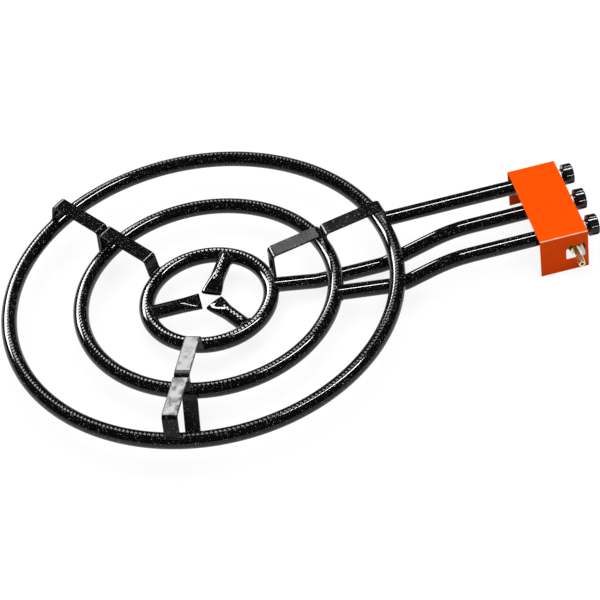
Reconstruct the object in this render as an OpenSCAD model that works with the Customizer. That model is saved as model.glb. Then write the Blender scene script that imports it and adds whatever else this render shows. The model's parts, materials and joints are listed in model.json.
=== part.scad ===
// Three-ring gas burner for paella pans: stepped enamelled tube rings, bent feed tubes that pass
// under them, strap pan supports with splayed feet, and a folded cover over the gas bar and taps.
// The sizes below are measured from the axis and the tube centre plane of the outer ring.

/* [Rings] */
// Outside diameter of the outer ring
outer_ring_d = 700; // [680:5:720]
// Outside diameter of the middle ring, as a share of the outer ring's
middle_ring_share = 0.6714; // [0.65:0.0002:0.69]
// Outside diameter of the inner ring, as a share of the outer ring's
inner_ring_share = 0.3486; // [0.332:0.0002:0.365]
// Outside diameter of the tube that the rings are rolled from
ring_tube_d = 27.4; // [26.8:0.1:28.4]
// Wall of the ring tube
ring_wall = 2; // [1.5:0.1:3]
// Drop from the plane of one ring to the plane of the next smaller ring
ring_step = 12; // [10:0.5:14]
// How far the two smaller rings sit towards the control box
ring_shift = 8; // [4:0.5:10]

/* [Feed tubes] */
// Outside diameter of a feed tube
feed_d = 26.4; // [24:0.1:26.6]
// Wall of a feed tube
feed_wall = 2; // [1.5:0.1:3]
// Distance between neighbouring feed tubes
feed_pitch = 68.5; // [62:0.5:72]
// Sideways place of the feed tube that runs to the inner ring
feed_row_y = -5.5; // [-10:0.5:0]
// Distance from the ring axis to the open ends of the feed tubes
feed_reach = 578; // [565:1:590]
// Bend radius of a feed tube, at its centre line
feed_bend_r = 60; // [50:1:70]
// Wider bend radius where a feed tube comes up to its level run to the cover
feed_ease_r = 220; // [160:5:260]
// Slope of a feed tube where it dips under a ring
feed_slope = 18; // [16:0.5:20]
// Lead of the inner ring's feed tube, from the outer ring to the start of its dip
inner_dip_lead = 103; // [98:1:112]
// Straight stub between the inner ring and the last bend of its feed tube
inner_stub = 18; // [14:1:24]

/* [Star tubes] */
// Outside diameter of a star tube, where it is still round
star_d = 26; // [24:0.5:26.5]
// Wall of a star tube
star_wall = 1.8; // [1.4:0.1:2.4]
// Width of the flattened mouth of a star tube
star_mouth_w = 36; // [32:1:37]
// Height of the flattened mouth
star_mouth_h = 9.5; // [7:0.5:12]
// Distance from the ring axis to the mouth
star_mouth_r = 14.5; // [14:0.5:18]
// Length over which the tube is flattened
star_flat_l = 40; // [34:1:46]
// Direction of the back star tube, from the control box side
back_star_dir = 62; // [58:1:64]
// Direction of the left star tube
left_star_dir = 180; // [177:1:183]
// Direction of the front star tube
front_star_dir = -60; // [-64:1:-56]

/* [Pan supports] */
// Width of the strap
strap_w = 26; // [22:0.5:28]
// Thickness of the strap
strap_t = 4; // [3:0.5:5]
// Bend radius of the strap, at its mid thickness
strap_bend_r = 7; // [6:0.5:9]
// Height of the pan rest above the outer ring's plane, at the outer end
rest_outer_z = 52; // [46:1:58]
// Height of the pan rest at the inner end of the back and front supports
rest_inner_z = 16; // [12:1:20]
// Height of the pan rest at the inner end of the right support
right_rest_inner_z = 33; // [28:1:38]
// Inset of the outer corner from the radius of the outer ring's centre line
rest_outer_inset = 5.5; // [3:0.5:8]
// How far outside the inner ring's centre line the inner corner sits
rest_inner_outset = 16; // [15:0.5:19]
// How far outside the outer ring's centre line the outer leg lands
outer_leg_out = 7; // [5:0.5:9]
// Lean of the legs over the middle ring
leg_lean = 6.5; // [4:0.5:9]
// Splay of a foot below the middle ring
foot_splay = 25; // [20:1:28]
// How far a foot is set aside from the middle of its support, towards the control box
foot_aside = 9; // [4:0.5:12]
// Depth of the floor below the outer ring's plane
foot_depth = 66.5; // [64:0.5:72]
// How far the supports' common centre sits towards the control box
support_shift = 5.6; // [4:0.2:7]
// Direction of the right support, from the control box side
right_support_dir = 7.8; // [6:0.1:8.5]
// Direction of the back support
back_support_dir = 130.3; // [120:0.1:140]
// Direction of the front support
front_support_dir = -109.4; // [-120:0.1:-100]

/* [Mixers] */
// Length of a mixer past the end of its feed tube
mixer_l = 30; // [28:1:34]
// Length of the spigot that holds a mixer in its feed tube
mixer_spigot_l = 8; // [6:1:12]
// Wall of a mixer
mixer_wall = 2; // [1.6:0.1:3]
// Thickness of a mixer's end wall
mixer_end_t = 4; // [3:0.5:5]
// Length of the air windows
air_window_l = 10; // [6:0.5:11]
// Height of the air windows
air_window_h = 12; // [8:1:14]
// Distance from the end of the feed tube to the air windows
air_window_lead = 3; // [2:0.5:4]

/* [Control cover] */
// Length of the cover along the feed tubes
cover_l = 85; // [80:1:90]
// Distance from the axes of the outside feed tubes to the sides of the cover
cover_margin = 27; // [24:0.5:34]
// Thickness of the cover sheet
cover_t = 1.5; // [1:0.1:2]
// Outside radius of the cover's long folds
cover_fold_r = 3; // [2.2:0.1:5]
// Distance from the ends of the mixers to the knob panel's outer face
panel_lead = 49; // [48:0.5:52]
// Width of the hose window in the near flange
window_w = 35; // [30:1:36]
// Height of the hose window
window_h = 30; // [26:1:32]
// Clipped upper corner of the hose window
window_clip = 8; // [4:1:10]

/* [Gas bar and taps] */
// Outside diameter of the gas bar
bar_d = 21; // [19:0.5:22]
// Wall of the gas bar
bar_wall = 2.5; // [2:0.1:3]
// Depth of the gas bar's axis below the taps
bar_drop = 26; // [25:0.5:28]
// Distance from the knob panel back to the gas bar's axis
bar_setback = 22; // [21:0.5:23]
// Length of the gas bar past the first and the last tap
bar_overhang = 14; // [12:0.5:15]
// Diameter of a tap body
tap_d = 22; // [18:0.5:23]
// Length of a tap body
tap_l = 33; // [30:0.5:36]
// Diameter of the tap's threaded neck
tap_neck_d = 12; // [11:0.5:13]
// Diameter of the tap's inlet stub
tap_inlet_d = 10; // [8:0.5:11]
// Diameter of the tap stem
stem_d = 8; // [6:0.5:8]
// Diameter of the nozzle's neck, next to its hexagon
tail_neck_d = 9.5; // [8:0.5:10.5]
// Length of the neck
tail_neck_l = 14; // [10:1:18]
// Length of the flare from the neck to the hose tail
tail_flare_l = 5; // [3:0.5:7]
// Diameter of the hose tail
tail_d = 13; // [12:0.5:14]
// Straight length of the hose tail
tail_l = 11; // [8:1:14]
// Length of the tapered tip of the hose tail
tail_tip_l = 6; // [4:0.5:8]
// How far the tip is tapered in
tail_taper = 0.9; // [0.5:0.1:1.5]
// Bore of the hose tail
tail_bore_d = 6; // [4:0.5:6.5]

/* [Knobs] */
// Diameter over the lobes of a knob
knob_d = 37; // [32:0.5:42]
// Length of the lobed grip
knob_l = 17; // [14:0.5:22]
// Number of scallops between the lobes
knob_scallops = 7; // [6:1:10]
// Diameter of a scallop
scallop_d = 10; // [8:0.5:11]
// How deep a scallop cuts into the grip
scallop_depth = 3; // [2:0.1:3.5]
// Distance from the back of the grip to the scallops
scallop_lead = 3; // [2:0.5:5]
// Diameter of the collar behind the grip
knob_collar_d = 23; // [20:0.5:26]
// Length of the collar
knob_collar_l = 3.5; // [2.5:0.5:5]
// Bevel round the face of the grip
knob_bevel = 2; // [1:0.1:2.5]
// Length of the pointer groove on the face
pointer_l = 12; // [8:0.5:14]
// Width of the pointer groove
pointer_w = 1.6; // [1:0.1:2.5]
// Depth of the pointer groove
pointer_depth = 0.8; // [0.4:0.1:1.2]
// How far the tap stem reaches into the grip
stem_grip_l = 8.5; // [6:0.5:11]

/* [Bracket] */
// Thickness of the bracket and clip sheet
bracket_t = 2; // [1.5:0.1:2.5]
// Distance from the ends of the mixers back to the bracket wall
bracket_setback = 12; // [10:0.5:13]
// Length of the bracket's lip below its floor
bracket_lip = 22; // [18:1:24]
// How far the bracket wall stays below the tops of the feed tubes
bracket_wall_inset = 3; // [1:0.5:5]
// Distance from the middle of the row to a cover screw
cover_screw_out = 58; // [50:1:64]
// Width of a clip over the gas bar
clip_w = 14; // [10:1:18]
// Length of a clip's tab
clip_tab = 10; // [9:0.5:11]

/* [Hidden] */
// Gap left for the weld bead where a tube or strap ends on a ring
weld_gap = 0.2;
// Clearance of a spigot, thread or clip
fit_gap = 0.15;
// Running clearance of a tap stem
run_gap = 0.05;
// Clearance of a feed tube that passes under a ring
pass_gap = 0.6;
// Clearance between the cover and what it covers
cover_gap = 0.3;
// Clearance of a screw or neck in a sheet
hole_gap = 0.3;
// Gap behind a knob
knob_gap = 1;
// Gap past the end of a tap stem in its knob
stem_end_gap = 0.3;
// Overlap that joins the shapes of one piece, and that carries a cut through a face
lap = 1;
ring_r = ring_tube_d / 2;
feed_r = feed_d / 2;
feed_bore_r = feed_r - feed_wall;
outer_r = outer_ring_d / 2 - ring_r;
middle_r = outer_ring_d * middle_ring_share / 2 - ring_r;
inner_r = outer_ring_d * inner_ring_share / 2 - ring_r;
middle_z = -ring_step;
inner_z = -2 * ring_step;
floor_z = -foot_depth;
star_dirs = [back_star_dir, left_star_dir, front_star_dir];

// The three feeds in the order outer, inner, middle ring, with the row's places
feed_y = [feed_row_y + feed_pitch, feed_row_y, feed_row_y - feed_pitch];
outer_join_x = sqrt(pow(outer_r, 2) - pow(feed_y[0], 2));
inner_join_x = ring_shift + sqrt(pow(inner_r, 2) - pow(feed_y[1], 2));
middle_join_x = ring_shift + sqrt(pow(middle_r, 2) - pow(feed_y[2], 2));

// The middle ring's feed passes the outer ring at the bottom of a rounded dip
pass_drop = ring_r + feed_r + pass_gap;
middle_dip_x = sqrt(pow(outer_r, 2) - pow(feed_y[2], 2));
middle_dip_z = -pass_drop - feed_bend_r * (1 / cos(feed_slope) - 1);
middle_feed_path = [
  [middle_join_x, middle_z],
  [middle_dip_x - (middle_z - middle_dip_z) / tan(feed_slope), middle_z],
  [middle_dip_x, middle_dip_z],
  [middle_dip_x - middle_dip_z / tan(feed_slope), 0],
  [feed_reach, 0]
];
// The inner ring's feed runs level under the middle ring
inner_low_z = middle_z - pass_drop;
inner_dip_x = outer_r + inner_dip_lead;
inner_rise_x = ring_shift + inner_r + ring_r + inner_stub;
inner_feed_path = [
  [inner_join_x, inner_z],
  [inner_rise_x, inner_z],
  [inner_rise_x + (inner_z - inner_low_z) / tan(feed_slope), inner_low_z],
  [inner_dip_x + inner_low_z / tan(feed_slope), inner_low_z],
  [inner_dip_x, 0],
  [feed_reach, 0]
];

// Stations along the feed axis, from the feed tube ends to the knobs
mixer_x = feed_reach + mixer_l;
injector_hex_l = 5.2;
tap_bore_setback = 8.5;
neck_reach = 3.5;
nut_t = 3.2;
tap_x = mixer_x + injector_hex_l + 2 * fit_gap;
panel_x = mixer_x + panel_lead;
bar_x = panel_x - bar_setback;
tap_front_x = tap_x + tap_l;
neck_x = panel_x + neck_reach;
knob_x = neck_x + knob_gap;
grip_x = knob_x + knob_collar_l;
face_x = grip_x + knob_l;
bar_z = -bar_drop;
bar_r = bar_d / 2;
bar_bore_r = bar_r - bar_wall;
bar_back_y = feed_y[0] + bar_overhang;
bar_front_y = feed_y[2] - bar_overhang;
tap_r = tap_d / 2;
stem_r = stem_d / 2;

// The cover clears the feed tubes by the cover gap
cover_top_z = feed_r + cover_gap + cover_t;
cover_x = panel_x - cover_l;
cover_w = 2 * feed_pitch + 2 * cover_margin;

// Sizes of the fasteners
bar_hex_af = 17;
bar_hex_l = 10;
plug_hex_l = 6;
bar_spigot_l = 8;
nut_af = 19;
injector_af = 12;
injector_r = 4;
injector_reach = 12;
injector_nose_l = 3;
injector_nose_r = 2.5;
jet_r = 0.8;
screw_r = 2.5;
screw_head_r = 4.5;
screw_head_t = 2.8;
screw_nut_af = 8;
screw_nut_t = 4;
clip_screw_r = 2;
clip_screw_head_r = 3.4;
clip_screw_head_t = 2;
clip_screw_l = 8;
screw_tail_l = 2;
tap_inlet_bore_r = 3;
gas_bore_r = 1.5;

// The bracket carries the gas bar and holds the cover by its lip
bracket_x = mixer_x - bracket_setback;
bracket_floor_z = bar_z - bar_r - fit_gap;
bracket_front_x = panel_x - cover_t - fit_gap;
bracket_side_room = 5;
bracket_w = cover_w - 2 * cover_t - 2 * bracket_side_room;
clip_side_room = 12;
bracket_floor_w = feed_pitch + clip_w + 2 * clip_side_room;
bracket_wall_top = feed_r - bracket_wall_inset;
bracket_screw_z = bracket_floor_z - bracket_lip / 2 - bracket_t / 2;
bracket_screw_y = [feed_row_y - cover_screw_out, feed_row_y + cover_screw_out];
clip_y = [feed_row_y - feed_pitch / 2, feed_row_y + feed_pitch / 2];

// The supports' corners, measured from the supports' centre
rest_outer_r = outer_r - rest_outer_inset;
rest_inner_r = inner_r + rest_inner_outset;
// Each support's direction, the height of its inner corner, and whether it carries a foot
right_support = [right_support_dir, right_rest_inner_z, false];
back_support = [back_support_dir, rest_inner_z, true];
front_support = [front_support_dir, rest_inner_z, true];

// The part stands on the floor with its origin under the middle of its length
center_x = (face_x - outer_ring_d / 2) / 2;
steel_black = [0.06, 0.06, 0.065];
cover_orange = [0.95, 0.3, 0.02];
brass_yellow = [0.78, 0.62, 0.3];
zinc_grey = [0.72, 0.73, 0.75];
// Sides of the swept tubes and the largest angle of one step round a bend
feed_sides = 36;
star_sides = 32;
star_steps = 8;
// How far the corners of a star tube's mouth are squared
mouth_squareness = 0.45;
bend_step = 5;
$fn = 64;

// Distance from the supports' centre to the centre line of a ring, in one direction
function ring_at(r, shift, dir) = let (off = shift - support_shift)
  off * cos(dir) + sqrt(pow(r, 2) - pow(off * sin(dir), 2));

// Heading of the leg that starts at point i, the turn at point i, and how far its bend reaches
function heading(p, i) = atan2(p[i + 1].y - p[i].y, p[i + 1].x - p[i].x);
function wrapped(a) = a > 180 ? a - 360 : a < -180 ? a + 360 : a;
function turn(p, i) = wrapped(heading(p, i) - heading(p, i - 1));

// Stations along a path with round bends, each with its place and heading
function bend_stations(p, i, r) = let (
    side = sign(turn(p, i)),
    from = heading(p, i - 1),
    reach = r * tan(abs(turn(p, i)) / 2),
    center = p[i] + reach * [-cos(from), -sin(from)] + side * r * [-sin(from), cos(from)],
    steps = ceil(abs(turn(p, i)) / bend_step)
  ) [for (k = [0 : steps]) let (a = from + turn(p, i) * k / steps)
      [center.x + side * r * sin(a), center.y - side * r * cos(a), a]];
function stations(p, r, last_r) = let (last = len(p) - 1) concat(
    [[p[0].x, p[0].y, heading(p, 0)]],
    [for (i = [1 : last - 1], s = bend_stations(p, i, i < last - 1 ? r : last_r)) s],
    [[p[last].x, p[last].y, heading(p, last - 1)]]
  );

// Points at one side of the stations, and the outline of a strip along them
function beside(st, off) = [for (s = st) [s.x - off * sin(s.z), s.y + off * cos(s.z)]];
function backwards(list) = [for (i = [len(list) - 1 : -1 : 0]) list[i]];
function strip(st, t) = concat(beside(st, t / 2), backwards(beside(st, -t / 2)));

// Moves a piece from the outer ring's frame into the part's frame
module placed() {
  translate([-center_x, 0, -floor_z]) children();
}

// Skin through two stacks of point rings, an outer and an inner one, closed at both ends
module tube_skin(outside, inside) {
  count = len(outside);
  sides = len(outside[0]);
  all = concat(outside, inside);
  function at(ring, side) = ring * sides + side % sides;
  polyhedron(
    points = [for (ring = all, point = ring) point],
    faces = concat(
      [for (k = [0 : count - 2], j = [0 : sides - 1])
        [at(k, j), at(k + 1, j), at(k + 1, j + 1), at(k, j + 1)]],
      [for (k = [count : 2 * count - 2], j = [0 : sides - 1])
        [at(k, j), at(k, j + 1), at(k + 1, j + 1), at(k + 1, j)]],
      [for (j = [0 : sides - 1]) [at(0, j), at(0, j + 1), at(count, j + 1), at(count, j)]],
      [for (j = [0 : sides - 1])
        [at(count - 1, j + 1), at(count - 1, j), at(2 * count - 1, j), at(2 * count - 1, j + 1)]]
    )
  );
}

module ring_section(r, wall) {
  difference() {
    circle(r = r);
    circle(r = r - wall);
  }
}

// Solid body of a ring, for cutting what is welded onto it
module ring_body(r, shift, z, gap) {
  translate([shift, 0, z]) rotate_extrude($fn = 128) translate([r, 0]) circle(r = ring_r + gap);
}

module outer_body() ring_body(outer_r, 0, 0, weld_gap);
module middle_body() ring_body(middle_r, ring_shift, middle_z, weld_gap);
module inner_body() ring_body(inner_r, ring_shift, inner_z, weld_gap);

module ring_tube(r, shift, z) {
  translate([shift, 0, z]) rotate_extrude($fn = 128) translate([r, 0]) ring_section(ring_r, ring_wall);
}

// Gas way from a feed tube into a ring
module feed_way(x, y, z) {
  translate([x, y, z]) rotate([0, 90, 0]) cylinder(r = feed_bore_r - fit_gap, h = 2 * ring_r);
}

module outer_ring() {
  color(steel_black) placed() difference() {
    ring_tube(outer_r, 0, 0);
    feed_way(outer_join_x, feed_y[0], 0);
  }
}

module middle_ring() {
  color(steel_black) placed() difference() {
    ring_tube(middle_r, ring_shift, middle_z);
    feed_way(middle_join_x, feed_y[2], middle_z);
  }
}

module inner_ring() {
  color(steel_black) placed() difference() {
    ring_tube(inner_r, ring_shift, inner_z);
    feed_way(inner_join_x, feed_y[1], inner_z);
    for (dir = star_dirs) {
      translate([ring_shift, 0, inner_z]) rotate([0, 0, dir]) rotate([0, 90, 0])
        cylinder(r = star_d / 2 - star_wall - fit_gap, h = inner_r);
    }
  }
}

// Distance out to the side of a ring's tube at a height over its centre plane
function ring_side(r, z) = r + sqrt(pow(ring_r + weld_gap, 2) - pow(z, 2));

// Point rings of a feed tube: the first one is coped to the side of its ring
function feed_rings(path, y, ring, tube_r) = let (st = stations(path, feed_bend_r, feed_ease_r)) [
    for (i = [0 : len(st) - 1]) [
      for (j = [0 : feed_sides - 1]) let (
        u = tube_r * cos(j * 360 / feed_sides),
        v = tube_r * sin(j * 360 / feed_sides)
      ) i == 0
        ? [ring_shift + sqrt(pow(ring_side(ring, v), 2) - pow(y + u, 2)), y + u, st[i].y + v]
        : [st[i].x - v * sin(st[i].z), y + u, st[i].y + v * cos(st[i].z)]
    ]
  ];

module bent_feed_tube(path, y, ring) {
  color(steel_black) placed()
    tube_skin(feed_rings(path, y, ring, feed_r), feed_rings(path, y, ring, feed_bore_r));
}

module outer_feed_tube() {
  color(steel_black) placed() difference() {
    translate([outer_join_x, feed_y[0], 0]) rotate([0, 90, 0])
      linear_extrude(feed_reach - outer_join_x) ring_section(feed_r, feed_wall);
    outer_body();
  }
}

module inner_feed_tube() bent_feed_tube(inner_feed_path, feed_y[1], inner_r);
module middle_feed_tube() bent_feed_tube(middle_feed_path, feed_y[2], middle_r);

// Section of a star tube, from round at the root to a flat slot at the mouth
function power(value, exponent) = sign(value) * pow(abs(value), exponent);
function star_point(flat, inset, j) = let (
    eased = flat * flat * (3 - 2 * flat),
    exponent = 1 - mouth_squareness * eased,
    half_w = star_d / 2 + (star_mouth_w - star_d) / 2 * eased - inset,
    half_h = star_d / 2 + (star_mouth_h - star_d) / 2 * eased - inset
  ) [
    half_w * power(cos(j * 360 / star_sides), exponent),
    half_h * power(sin(j * 360 / star_sides), exponent)
  ];

// Point rings of a star tube: the last one is coped to the inner side of the inner ring
function star_rings(inset) = concat(
    [for (k = [0 : star_steps]) [
      for (j = [0 : star_sides - 1]) let (q = star_point(1 - k / star_steps, inset, j))
        [star_mouth_r + star_flat_l * k / star_steps, q.x, q.y]
    ]],
    [[for (j = [0 : star_sides - 1]) let (q = star_point(0, inset, j))
      [sqrt(pow(2 * inner_r - ring_side(inner_r, q.y), 2) - pow(q.x, 2)), q.x, q.y]]]
  );

module star_tube(dir) {
  color(steel_black) placed() translate([ring_shift, 0, inner_z]) rotate([0, 0, dir])
    tube_skin(star_rings(0), star_rings(star_wall));
}

// Lines of one support, in the upright plane of its direction
function rest_slope(s) = (rest_outer_z - s[1]) / (rest_outer_r - rest_inner_r);
// Mid line of the outer strap's leg: outside the middle ring where it carries a foot, else over its crown
function leg_r(s, z) = ring_at(middle_r, ring_shift, s[0]) + (middle_z - z) * tan(leg_lean)
  + (s[2] ? ring_r + weld_gap + strap_t / 2 : strap_t);
// Distance between two straps that lie back to back, measured level
strap_pair = (strap_t + fit_gap) / cos(leg_lean);
// Knee where the pan rest turns down into a leg, set back by some distance
function knee(s, back) = let (
    fall = rest_slope(s) * tan(leg_lean),
    r = (leg_r(s, s[1]) - back + rest_inner_r * fall) / (1 + fall)
  ) [r, s[1] + (r - rest_inner_r) * rest_slope(s)];

// One bent strap, standing in its direction and set aside from it by some distance
module strap_run(path, dir, aside = 0) {
  translate([support_shift, 0, 0]) rotate([0, 0, dir]) rotate([90, 0, 0])
    translate([0, 0, aside - strap_w / 2]) linear_extrude(strap_w)
    polygon(strip(stations(path, strap_bend_r, strap_bend_r), strap_t));
}

// From the outer ring over the pan rest to the middle ring
module outer_strap(s) {
  path = [
    [ring_at(outer_r, 0, s[0]) + outer_leg_out, 0],
    [rest_outer_r, rest_outer_z],
    knee(s, 0),
    [leg_r(s, middle_z), middle_z]
  ];
  color(steel_black) placed() difference() {
    strap_run(path, s[0]);
    outer_body();
    middle_body();
    on_feed(0, outer_join_x) cylinder(r = feed_r + weld_gap, h = ring_tube_d);
  }
}

// From the middle ring, back to back with the outer strap, over the pan rest to the inner ring
module inner_strap(s) {
  side_r = ring_at(inner_r, ring_shift, s[0]) + ring_r - strap_t / 2;
  weld_h = ring_r / 2;
  path = [
    [side_r + weld_h * (rest_inner_r - side_r) / (s[1] - inner_z), inner_z + weld_h],
    [rest_inner_r, s[1]],
    knee(s, strap_pair),
    [leg_r(s, middle_z + weld_h) - strap_pair, middle_z + weld_h]
  ];
  color(steel_black) placed() difference() {
    strap_run(path, s[0]);
    middle_body();
    inner_body();
    translate([0, 0, inner_z]) on_feed(1, inner_join_x) cylinder(r = feed_r + weld_gap, h = ring_tube_d);
  }
}

// Strap on the outside of an outer strap's leg, splayed below the middle ring and cut level at the floor
module foot(s) {
  top = middle_z + ring_r;
  below = floor_z - strap_t;
  bend_r = leg_r(s, middle_z) + strap_pair;
  path = [
    [leg_r(s, top) + strap_pair, top],
    [bend_r, middle_z],
    [bend_r + (middle_z - below) * tan(foot_splay), below]
  ];
  color(steel_black) placed() difference() {
    strap_run(path, s[0], sign(s[0]) * foot_aside);
    translate([0, 0, below - lap]) cylinder(r = outer_r, h = strap_t + lap);
  }
}

// Outline of the cover across the feed tubes, with rounded upper corners
module cover_outline(inset, fold_r) {
  w = cover_w - 2 * inset;
  top = cover_top_z - inset;
  bottom = floor_z;
  translate([-w / 2, bottom]) square([w, top - fold_r - bottom]);
  translate([-w / 2 + fold_r, bottom]) square([w - 2 * fold_r, top - bottom]);
  for (side = [-1, 1]) {
    translate([side * (w / 2 - fold_r), top - fold_r]) circle(r = fold_r);
  }
}

module control_cover() {
  window_x = bar_x - window_w / 2;
  window_z = bar_z - window_h / 2;
  color(cover_orange) placed() difference() {
    translate([cover_x, feed_row_y, 0]) rotate([90, 0, 90]) difference() {
      linear_extrude(cover_l) cover_outline(0, cover_fold_r);
      translate([0, 0, -cover_t]) linear_extrude(cover_l) {
        cover_outline(cover_t, cover_fold_r - cover_t);
        translate([-cover_w / 2 + cover_t, floor_z - cover_t])
          square([cover_w - 2 * cover_t, 2 * cover_t]);
      }
    }
    translate([0, feed_row_y - cover_w / 2 + 2 * cover_t, 0]) rotate([90, 0, 0])
      linear_extrude(3 * cover_t) polygon([
        [window_x, window_z], [window_x + window_w, window_z],
        [window_x + window_w, window_z + window_h],
        [window_x + window_clip, window_z + window_h],
        [window_x, window_z + window_h - window_clip]
      ]);
    for (y = feed_y) {
      panel_hole(y, 0, tap_neck_d / 2 + hole_gap);
    }
    for (y = bracket_screw_y) {
      panel_hole(y, bracket_screw_z, screw_r + hole_gap);
    }
  }
}

// Hole through the knob panel and the bracket lip behind it
module panel_hole(y, z, r) {
  translate([bracket_front_x - 2 * bracket_t, y, z]) rotate([0, 90, 0])
    cylinder(r = r, h = 2 * bracket_t + 2 * cover_t + lap);
}

// Folded bracket: a wall round the feed tubes, a floor for the gas bar and a lip on the knob panel
module mixer_bracket() {
  back_y = feed_row_y - bracket_w / 2;
  floor_under = bracket_floor_z - bracket_t;
  color(zinc_grey) placed() difference() {
    union() {
      translate([bracket_x - bracket_t, back_y, floor_under])
        cube([bracket_t, bracket_w, bracket_wall_top - floor_under]);
      translate([bracket_x - bracket_t, feed_row_y - bracket_floor_w / 2, floor_under])
        cube([bracket_front_x - bracket_x + bracket_t, bracket_floor_w, bracket_t]);
      translate([bracket_front_x - bracket_t, back_y, floor_under - bracket_lip])
        cube([bracket_t, bracket_w, bracket_lip + bracket_t]);
    }
    for (y = feed_y) {
      translate([bracket_x - 2 * bracket_t, y, 0]) rotate([0, 90, 0])
        cylinder(r = feed_r + fit_gap, h = 3 * bracket_t);
    }
    for (y = bracket_screw_y) {
      panel_hole(y, bracket_screw_z, screw_r + hole_gap);
    }
    clip_holes();
  }
}

// Places of the clip screws, on the tabs of both clips
module at_clip_screws() {
  for (y = clip_y) {
    translate([bar_x - bar_r - fit_gap - bracket_t - clip_tab / 2, y, bracket_floor_z]) children();
  }
}

module clip_holes() {
  at_clip_screws() translate([0, 0, -2 * bracket_t])
    cylinder(r = clip_screw_r + fit_gap, h = 4 * bracket_t);
}

// Gas bar with one inlet hole under each tap
module gas_bar() {
  color(steel_black) placed() difference() {
    translate([bar_x, bar_back_y, bar_z]) rotate([90, 0, 0])
      linear_extrude(bar_back_y - bar_front_y) ring_section(bar_r, bar_wall);
    for (y = feed_y) {
      translate([bar_x, y, bar_z]) cylinder(r = tap_inlet_d / 2 + fit_gap, h = bar_d);
    }
  }
}

// Hexagon of a given width across its flats
module hexagon(af, h) {
  cylinder(r = af / 2 / cos(30), h = h, $fn = 6);
}

module bar_plug() {
  color(brass_yellow) placed() translate([bar_x, bar_back_y, bar_z]) rotate([-90, 0, 0]) {
    translate([0, 0, fit_gap]) hexagon(bar_hex_af, plug_hex_l);
    translate([0, 0, -bar_spigot_l]) cylinder(r = bar_bore_r - fit_gap, h = bar_spigot_l + 2 * fit_gap);
  }
}

// Hexagon collar on the gas bar, neck and flared hose tail, bored through
module hose_nozzle() {
  neck_r = tail_neck_d / 2;
  tail_r = tail_d / 2;
  flare_z = bar_hex_l + tail_neck_l;
  land_z = flare_z + tail_flare_l;
  tip_z = land_z + tail_l;
  end_z = tip_z + tail_tip_l;
  color(brass_yellow) placed() translate([bar_x, bar_front_y, bar_z]) rotate([90, 0, 0]) difference() {
    union() {
      translate([0, 0, -bar_spigot_l]) cylinder(r = bar_bore_r - fit_gap, h = bar_spigot_l + 2 * fit_gap);
      translate([0, 0, fit_gap]) hexagon(bar_hex_af, bar_hex_l);
      rotate_extrude() polygon([
        [0, bar_hex_l], [neck_r, bar_hex_l], [neck_r, flare_z], [tail_r, land_z],
        [tail_r, tip_z], [tail_r - tail_taper, end_z], [0, end_z]
      ]);
    }
    translate([0, 0, -bar_spigot_l - lap])
      cylinder(r = tail_bore_d / 2, h = bar_spigot_l + end_z + 2 * lap);
  }
}

// Saddle clips that hold the gas bar down on the bracket floor
module bar_clips() {
  inner = bar_r + fit_gap;
  outer = inner + bracket_t;
  color(zinc_grey) placed() difference() {
    for (y = clip_y) {
      translate([bar_x, y + clip_w / 2, bar_z]) rotate([90, 0, 0]) linear_extrude(clip_w) difference() {
        union() {
          circle(r = outer);
          translate([-outer, -inner]) square([2 * outer, inner]);
          translate([-outer - clip_tab, -inner]) square([outer + clip_tab, bracket_t]);
        }
        circle(r = inner);
        translate([-inner, -outer]) square([2 * inner, outer]);
        translate([-2 * outer, -2 * outer]) square([4 * outer, 2 * outer - inner]);
      }
    }
    clip_holes();
  }
}

module clip_screws() {
  color(zinc_grey) placed() at_clip_screws() {
    translate([0, 0, bracket_t + fit_gap]) cylinder(r = clip_screw_head_r, h = clip_screw_head_t);
    translate([0, 0, bracket_t + 2 * fit_gap - clip_screw_l]) cylinder(r = clip_screw_r, h = clip_screw_l);
  }
}

// Moves a piece onto the axis of one feed, with its Z axis along the feed
module on_feed(i, x) {
  translate([x, feed_y[i], 0]) rotate([0, 90, 0]) children();
}

// Mixer on the end of a feed tube: air windows in its sides and the injector in its end wall
module mixer(i) {
  spigot_r = feed_bore_r - fit_gap;
  color(zinc_grey) placed() on_feed(i, feed_reach) difference() {
    union() {
      translate([0, 0, fit_gap]) cylinder(r = feed_r, h = mixer_l - fit_gap);
      translate([0, 0, -mixer_spigot_l]) cylinder(r = spigot_r, h = mixer_spigot_l + mixer_end_t);
    }
    translate([0, 0, -mixer_spigot_l - lap])
      cylinder(r = spigot_r - mixer_wall, h = mixer_spigot_l + mixer_l - mixer_end_t + lap);
    translate([0, 0, mixer_l / 2]) cylinder(r = injector_r + fit_gap, h = mixer_l);
    translate([-air_window_h / 2, -feed_d, air_window_lead]) cube([air_window_h, 2 * feed_d, air_window_l]);
  }
}

module injector(i) {
  color(brass_yellow) placed() on_feed(i, mixer_x + fit_gap) difference() {
    union() {
      hexagon(injector_af, injector_hex_l);
      translate([0, 0, -injector_reach])
        cylinder(r1 = injector_nose_r, r2 = injector_r, h = injector_nose_l);
      translate([0, 0, injector_nose_l - injector_reach])
        cylinder(r = injector_r, h = injector_reach - injector_nose_l + lap);
    }
    translate([0, 0, -injector_reach - lap])
      cylinder(r = jet_r, h = injector_reach + injector_hex_l + 2 * lap);
  }
}

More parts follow.
